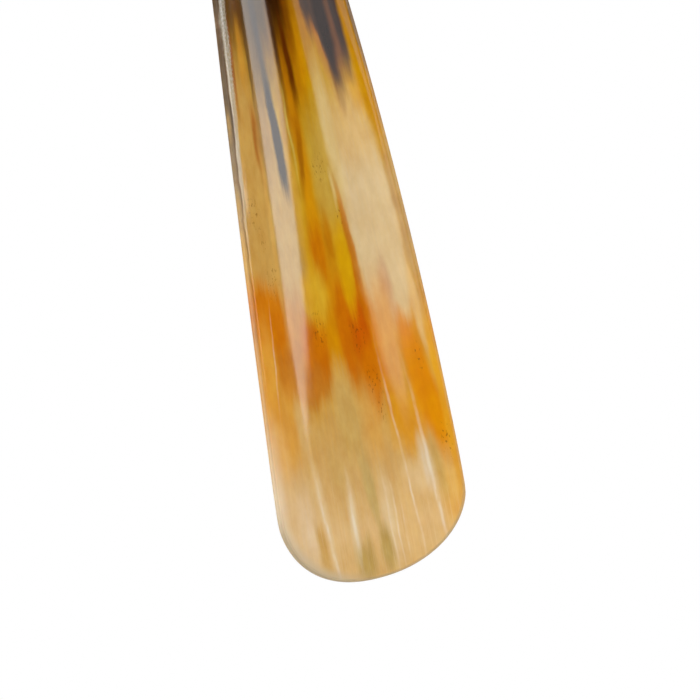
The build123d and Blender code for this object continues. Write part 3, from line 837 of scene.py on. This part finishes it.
def leather_material():
    """Bridle leather: grain cells, creases, dark burnished edges and paler rubbed bends."""
    hide = Nodes(bpy.data.materials.new("leather"))
    place = hide.place()
    warp = hide.node("ShaderNodeTexNoise", Vector=place, Scale=0.9, Detail=2.0)
    warped = hide.mix(0.35, place, warp.outputs["Color"], "ADD")
    cells = hide.node("ShaderNodeTexVoronoi", Vector=warped, Scale=2.6)
    cells.feature = "DISTANCE_TO_EDGE"
    from_crack = cells.outputs["Distance"]
    fine = hide.noise(place, scale=6.5, detail=4.0, rough=0.6)
    side = hide.attribute("side")
    rubbed = hide.rise(hide.noise(place, scale=0.8), 0.35, 0.65)
    rubbed = hide.times(hide.attribute("bend"), rubbed)
    colour = hide.ramp(hide.noise(place, scale=0.16, detail=4.0, rough=0.6), LEATHER_TONES)
    colour = hide.tint(colour, hide.fall(from_crack, 0.0, CRACK_HALF), LEATHER_CRACK, cover=0.45)
    colour = hide.tint(colour, fine, LEATHER_GRAIN, 0.3, "SOFT_LIGHT")
    colour = hide.tint(colour, rubbed, LEATHER_RUBBED, cover=0.4)
    rough = hide.add(hide.add(0.42, rubbed, 0.1), fine, 0.18)
    relief = hide.add(hide.rise(from_crack, 0.0, CRACK_HALF), fine, 0.4)
    return hide.shade(
        Base_Color=hide.tint(colour, side, LEATHER_SIDE, cover=0.85),
        Roughness=hide.add(rough, side, -0.12),
        Normal=hide.bump(relief, strength=0.4, distance=0.00008),
        IOR=1.48,
    )


# ---------------- leather loop

HANDLE_MIDDLE = 430.0  # height of the frame's origin
EYELET, LOOP_TOP = 526.0, 620.0
STRAP_W, STRAP_T = 5.0, 1.8
FOOT_X, HEAD_X = 12.6, 10.4  # half widths of the loop, at the eyelet and at its top
FOOT_BEND, HEAD_BEND, LAP_BEND = 3.4, 9.0, 6.0  # radii
LAP_LOW, LAP_HIGH = 566.0, 582.0
LAP_RAMP = 2 * STRAP_T  # height over which the overlying end climbs onto the other
UNDER_SHARE = 0.55  # of that height, where the end below stops
STRAP_STEP, ARC_STEP = 0.8, 0.5
EDGE_ROUND, EDGE_SHAPE, EDGE_STEPS = 0.42, 0.8, 8
CREASE_IN, CREASE_HALF, CREASE_DEPTH = 0.85, 0.16, 0.10  # distance from the edge, half width, depth
FACE_INNER = 0.3  # share of the half width that the face's middle strip takes
SKIN = 0.01  # how far the leather's faces lie inside the CAD faces
SKIVE_LENGTH, SKIVE_LEFT = 5.0, 0.35  # the hidden end is pared thinner
TRIM_LEFT, END_NARROW = 0.84, 0.03  # both ends are cut with slightly rounded edges
BEND_ROWS = 7  # over which a bend's wear fades out


def loop_corners():
    """Corners of the strap's middle line, x and height, from its hidden end round to the showing one."""
    lean = (FOOT_X - HEAD_X) / (LOOP_TOP - EYELET)
    onto = np.array((STRAP_T, -STRAP_T * lean))

    def left(height):
        return np.array((-(FOOT_X - lean * (height - EYELET)), height))

    return [
        (left(LAP_LOW + LAP_RAMP * UNDER_SHARE), 0),
        ((-HEAD_X, LOOP_TOP), HEAD_BEND),
        ((HEAD_X, LOOP_TOP), HEAD_BEND),
        ((FOOT_X, EYELET), FOOT_BEND),
        ((-FOOT_X, EYELET), FOOT_BEND),
        (left(LAP_LOW), LAP_BEND),
        (left(LAP_LOW + LAP_RAMP) - onto, LAP_BEND),
        (left(LAP_HIGH) - onto, 0),
    ]


def rounded_route(corners):
    """Points at even steps along straight runs joined by arcs, with a flag of 1 on the arcs."""
    points = []
    spots = [np.array(spot, float) for spot, _ in corners]
    for k, spot in enumerate(spots):
        radius = corners[k][1]
        if radius == 0:
            points.append((spot, 0))
            continue
        before, after = spots[k - 1] - spot, spots[k + 1] - spot
        before /= np.linalg.norm(before)
        after /= np.linalg.norm(after)
        half = math.acos(np.clip(before @ after, -1, 1)) / 2
        reach = radius / math.tan(half)
        middle = spot + (before + after) / np.linalg.norm(before + after) * radius / math.sin(half)
        start, end = spot + before * reach - middle, spot + after * reach - middle
        turn = math.pi - 2 * half
        steps = max(2, round(radius * turn / ARC_STEP))
        for t in np.linspace(0, 1, steps + 1):
            arc = (math.sin((1 - t) * turn) * start + math.sin(t * turn) * end) / math.sin(turn)
            points.append((middle + arc, 1))
    even = [points[0]]
    for (a, bend_a), (b, bend_b) in zip(points, points[1:]):
        count = max(1, round(np.linalg.norm(b - a) / STRAP_STEP))
        for t in range(1, count + 1):
            even.append((a + (b - a) * t / count, min(bend_a, bend_b)))
    return even


def strap_section():
    """Points round the strap as (across, out, side), with rounded edges and a crease line near each."""
    w, t = STRAP_W / 2, STRAP_T / 2 - SKIN
    face = [
        (w - EDGE_ROUND, t, 0.5),
        (w - CREASE_IN + CREASE_HALF, t, 0),
        (w - CREASE_IN, t - CREASE_DEPTH, 0.35),
        (w - CREASE_IN - CREASE_HALF, t, 0),
        (w * FACE_INNER, t, 0),
    ]
    half = face + [(-across, out, side) for across, out, side in face[::-1]]
    for k in range(1, EDGE_STEPS):
        angle = math.pi * k / EDGE_STEPS
        bulge = EDGE_ROUND * math.sin(angle) ** EDGE_SHAPE
        half.append((EDGE_ROUND - w - bulge, t * math.cos(angle), 1))
    return half + [(-across, -out, side) for across, out, side in half]


def loop_object():
    """The leather strap as one strip, through the eyelet and over its own end at the rivet."""
    route = rounded_route(loop_corners())
    spots = np.array([spot for spot, _ in route])
    bends = np.convolve([bend for _, bend in route], np.ones(BEND_ROWS) / BEND_ROWS, "same")
    along = np.gradient(spots, axis=0)
    along /= np.linalg.norm(along, axis=1)[:, None]
    outwards = np.stack([-along[:, 1], along[:, 0]], 1)
    section = strap_section()
    size, last = len(section), len(spots) - 1
    verts, info, faces = [], [], []
    for k, spot in enumerate(spots):
        at_end = k in (0, last)
        trim = TRIM_LEFT if at_end else 1
        skive = min(1.0, SKIVE_LEFT + (1 - SKIVE_LEFT) * k * STRAP_STEP / SKIVE_LENGTH)
        for across, out, side in section:
            lift = out * trim * (skive if out > 0 else 1)
            x, height = spot + outwards[k] * lift
            y = across * (1 - END_NARROW * (1 - trim))
            verts.append([value / MM_PER_M for value in (x, y, height - HANDLE_MIDDLE)])
            info.append((1 if at_end else side, bends[k]))
    for k in range(last):
        for j in range(size):
            a, b = k * size + j, k * size + (j + 1) % size
            faces.append((a, b, b + size, a + size))
    faces.append(range(size - 1, -1, -1))
    faces.append(range(last * size, (last + 1) * size))
    return add_smooth("loop_strap", verts, faces, ("side", "bend"), info)


# ---------------- studio

# Camera: to the left of the hollow side and a little below it, turned about its line of sight
AZIMUTH, ELEVATION, ROLL = -18.7, -8.3, -12.7
DISTANCE, LENS, CLIP_START = 0.58966, 120.0, 0.05
AIM_RIGHT, AIM_BACK, AIM_Z = 0.00305, 0.015, -0.37275

# Surroundings: how bright they are in reflections in front and behind, as fill, and to the camera
FRONT_GLOW, BACK_GLOW, FILL_GLOW, SEEN_GLOW = 0.01, 1.0, 0.46, 1.0
BACKDROP_ANGLES = 36, 20  # degrees from the view's middle, where the white begins and where it is full
FLOOR_Z, FLOOR_HALF, FLOOR_FADE = -0.56, 1.0, (0.25, 0.95)

# Panels, as azimuth and elevation of their corners seen from the blade's middle
BLADE_MIDDLE = Vector((0, 0.010, -0.330))
SOFTBOX = [
    (-11.5, 34), (-11.5, -9), (-14, -12), (-20, -12.7), (-25, -10), (-38, -9.6),
    (-44, -8), (-49, -3.7), (-50, -1), (-50.3, 2.5), (-52.3, 5.3), (-56, 9), (-57, 34),
]
OCTABOX = [
    (50.9, -10.9), (48.9, -10.4), (47.9, -9.5), (48.2, -7.6), (47.2, -5.6), (45.4, -4.4),
    (42.6, -3.4), (38.2, -0.8), (34.0, 2.4), (31.6, 4.1), (31.4, 7.8), (31, 16),
    (36, 24), (50, 28), (64, 24), (71, 17), (70.3, 11.4), (65.8, 6.5),
    (63.8, 2.7), (60.6, -1.4), (59.8, -4.5), (56.8, -6.7), (55.4, -9), (53.9, -10.1),
]
RIM_PANEL = [(88.5, 0), (93, 2), (97, 14), (99, 34), (92, 34), (90.8, 12.6), (87.6, 7.6), (86.6, 3.7)]
TOP_PANEL = [(-85, 42), (85, 42), (60, 82), (-60, 82)]
LOW_PANEL = [(-60, -26), (60, -26), (60, -60), (-60, -60)]
BACK_PANEL = [(110, 24), (212, 24), (200, 56), (122, 56)]
SIDE_PANEL = [(-68, -24), (-105, -24), (-105, 40), (-68, 40)]
EDGE_PANEL = [(-66, -24), (-108, -24), (-108, 3), (-66, -1)]


def direction(azimuth, elevation):
    """Unit vector from the blade towards a place in the studio; azimuth 0 is straight in front."""
    a, e = math.radians(azimuth), math.radians(elevation)
    return Vector((math.sin(a) * math.cos(e), -math.cos(a) * math.cos(e), math.sin(e)))


def add_camera():
    """The camera looks at a place on the blade; its level is then turned about its line of sight."""
    data = bpy.data.cameras.new("camera")
    data.lens = LENS
    data.clip_start = CLIP_START
    camera = add_object("camera", data)
    towards = direction(AZIMUTH, ELEVATION)
    level = Vector((math.cos(math.radians(AZIMUTH)), math.sin(math.radians(AZIMUTH)), 0))
    right = Matrix.Rotation(math.radians(ROLL), 3, towards) @ level
    camera.matrix_world = Matrix((right, towards.cross(right), towards)).transposed().to_4x4()
    camera.location = level * AIM_RIGHT + Vector((0, AIM_BACK, AIM_Z)) + towards * DISTANCE
    bpy.context.scene.camera = camera


def add_surroundings():
    """White world, bright behind the object and dark in front of it, where the panels are."""
    world = bpy.data.worlds.new("studio")
    bpy.context.scene.world = world
    sky = Nodes(world)
    facing = sky.node("ShaderNodeVectorMath")
    facing.operation = "DOT_PRODUCT"
    sky.put(facing.inputs[0], sky.node("ShaderNodeTexCoord").outputs["Generated"])
    sky.put(facing.inputs[1], -direction(AZIMUTH, ELEVATION))
    outside, inside = [math.cos(math.radians(angle)) for angle in BACKDROP_ANGLES]
    mirrored = sky.rise(facing.outputs["Value"], outside, inside, FRONT_GLOW, BACK_GLOW)
    ray = sky.node("ShaderNodeLightPath").outputs
    lit = sky.choose(ray["Is Diffuse Ray"], mirrored, FILL_GLOW)
    seen = sky.choose(ray["Is Camera Ray"], lit, SEEN_GLOW)
    sky.shade("Background", Strength=seen, Color=(1, 1, 1, 1))


def add_panel(name, corners, distance, glow):
    """A lit panel that the camera doesn't see and that casts no shadow."""
    panel = add_sheet(name, [BLADE_MIDDLE + direction(*corner) * distance for corner in corners])
    light = Nodes(bpy.data.materials.new(name))
    light.tree.nodes.clear()
    emission = light.node("ShaderNodeEmission", Strength=glow)
    light.node("ShaderNodeOutputMaterial", Surface=emission.outputs[0])
    panel.data.materials.append(light.owner)
    panel.visible_camera = False
    panel.visible_shadow = False
    return panel


def add_panels():
    """A softbox on the left and an oval one on the right are mirrored in the blade; the rest lights it."""
    add_panel("softbox", SOFTBOX, distance=1.3, glow=1.15)
    add_panel("octabox", OCTABOX, distance=1.2, glow=4.0)
    add_panel("rim_panel", RIM_PANEL, distance=1.2, glow=4.5)
    add_panel("top_panel", TOP_PANEL, distance=1.4, glow=13.9)
    add_panel("back_panel", BACK_PANEL, distance=1.4, glow=3.0)
    low = add_panel("low_panel", LOW_PANEL, distance=1.1, glow=7.0)
    side = add_panel("side_panel", SIDE_PANEL, distance=1.3, glow=4.8)
    edge = add_panel("edge_panel", EDGE_PANEL, distance=1.4, glow=2.6)
    low.visible_glossy = False
    side.visible_glossy = False
    edge.visible_diffuse = False


def add_floor():
    """A pale floor under the tip that fades out into the white surroundings."""
    corners = [(x * FLOOR_HALF, y * FLOOR_HALF, FLOOR_Z) for x, y in ((-1, -1), (1, -1), (1, 1), (-1, 1))]
    floor = add_sheet("floor", corners)
    paint = Nodes(bpy.data.materials.new("floor"))
    place = paint.node("ShaderNodeTexCoord").outputs["Object"]
    flat = paint.node("ShaderNodeVectorMath", Vector=place)
    flat.operation = "MULTIPLY"
    flat.inputs[1].default_value = (1, 1, 0)
    radius = paint.node("ShaderNodeVectorMath", Vector=flat.outputs[0])
    radius.operation = "LENGTH"
    shown = paint.fall(radius.outputs["Value"], *FLOOR_FADE)
    floor.data.materials.append(paint.shade(Base_Color=(0.9, 0.9, 0.89, 1), Roughness=0.7, Alpha=shown))
    floor.visible_glossy = False


add_camera()
add_surroundings()
add_panels()
add_floor()

blade = blade_object()
blade.data.materials.append(horn_material())
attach(blade, "shoehorn")
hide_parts("horn_blade")

strap = loop_object()
strap.data.materials.append(leather_material())
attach(strap, "loop")
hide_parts("hanging_loop")

TURNED = (0.5, 0.5, 9.0)  # lines round the handle's axis
RUBBED = (2.0, 2.0, 2.0)
brass_turned = metal_material("brass_turned", (222, 190, 136), (150, 116, 70), 0.25, TURNED)
brass_small = metal_material("brass_small", (218, 186, 130), (144, 110, 64), 0.27, RUBBED)
steel = metal_material("steel", (186, 188, 190), (110, 108, 104), 0.34, TURNED, wear=0.2)
SMALL_BRASS = ("ferrule_pins", "cap_screw", "eyelet", "eyelet_washer", "loop_rivet_post", "loop_rivet_cap")
FINISHES = [
    (walnut_material(), ("handle_grip",)),
    (brass_turned, ("ferrule", "end_cap")),
    (brass_small, SMALL_BRASS),
    (steel, ("joint_stud",)),
]
for material, names in FINISHES:
    for name in names:
        for material_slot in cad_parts[name].material_slots:
            material_slot.material = material

bpy.context.scene.view_settings.view_transform = "Standard"
